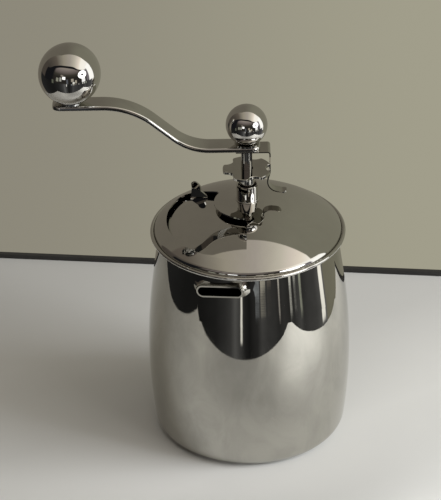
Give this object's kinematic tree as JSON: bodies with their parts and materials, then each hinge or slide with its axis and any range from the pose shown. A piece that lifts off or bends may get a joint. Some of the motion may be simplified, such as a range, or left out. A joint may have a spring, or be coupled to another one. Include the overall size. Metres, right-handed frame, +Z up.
{
  "type": "manual coffee grinder",
  "caption": "Polished steel table coffee grinder: barrel-shaped catch can under a domed lid with a sliding filling door, star-wheel grind adjuster, cranked arm and ball knob.",
  "frame": {"origin": "centre of the can's flat base, where it stands on the table", "axes": "+Z up along the shaft's axis; the crank arm points along -X at rest; -Y is the pictured front"},
  "size_m": [0.1547, 0.1042, 0.2204],
  "materials": {
    "polished_steel": "mirror-polished stainless steel",
    "burr_steel": "ground and hardened tool steel",
    "spring_steel": "bright spring steel",
    "zinc_steel": "bright zinc plating",
    "shaft_steel": "ground steel",
    "bronze": "oiled sintered bronze",
    "cast_steel": "cast steel, tumbled"
  },
  "bodies": {
    "can": {"can": "polished_steel"},
    "grinding_head": {"lid": "polished_steel", "bearing_tube": "polished_steel", "upper_bush": "bronze", "door_clip": "spring_steel", "door_spacer": "zinc_steel", "hopper": "polished_steel", "bridge": "cast_steel", "bridge_bush": "bronze", "ring_burr": "burr_steel", "burr_screws": "zinc_steel", "spring": "spring_steel"},
    "door": {"door": "polished_steel"},
    "thrust_washer": {"thrust_washer": "zinc_steel"},
    "crank": {"shaft": "shaft_steel", "cone_burr": "burr_steel", "burr_washer": "zinc_steel", "burr_nut": "zinc_steel", "lock_spring": "polished_steel", "crank_arm": "polished_steel", "finial_washer": "polished_steel", "ball_nut": "polished_steel", "knob_axle": "shaft_steel", "knob_washer": "zinc_steel"},
    "keyed_washer": {"keyed_washer": "zinc_steel"},
    "star_wheel": {"star_wheel": "polished_steel"},
    "knob": {"knob_bush": "bronze", "knob_ball": "polished_steel"}
  },
  "joints": [
    {"name": "head_lift", "type": "slide", "parent": "can", "child": "grinding_head", "axis": [0, 0, 1], "range_m": [0, 0.06]},
    {"name": "door_turn", "type": "hinge", "parent": "grinding_head", "child": "door", "pos_m": [0, 0, 0.1285], "axis": [0, 0, 1], "range_deg": [0, 119]},
    {"name": "burr_lift", "type": "slide", "parent": "grinding_head", "child": "thrust_washer", "axis": [0, 0, 1], "range_m": [-0.0006, 0.0006], "deforming": ["spring"]},
    {"name": "crank_spin", "type": "hinge", "parent": "thrust_washer", "child": "crank", "pos_m": [0, 0, 0.126], "axis": [0, 0, 1], "continuous": true},
    {"name": "washer_key", "type": "slide", "parent": "crank", "child": "keyed_washer", "axis": [0, 0, 1], "range_m": [-0.0006, 0.0006]},
    {"name": "grind_adjust", "type": "hinge", "parent": "keyed_washer", "child": "star_wheel", "pos_m": [0, 0, 0.1491], "axis": [0, 0, 1], "range_deg": [-288.1, 288.1], "deforming": ["lock_spring"]},
    {"name": "knob_spin", "type": "hinge", "parent": "crank", "child": "knob", "pos_m": [-0.0871, 0, 0.20495], "axis": [0, 0, 1], "continuous": true}
  ],
  "couplings": [
    {"joint": "grind_adjust", "follows": "burr_lift", "rad_per_m": -8377.6},
    {"joint": "washer_key", "follows": "burr_lift", "ratio": -1}
  ]
}
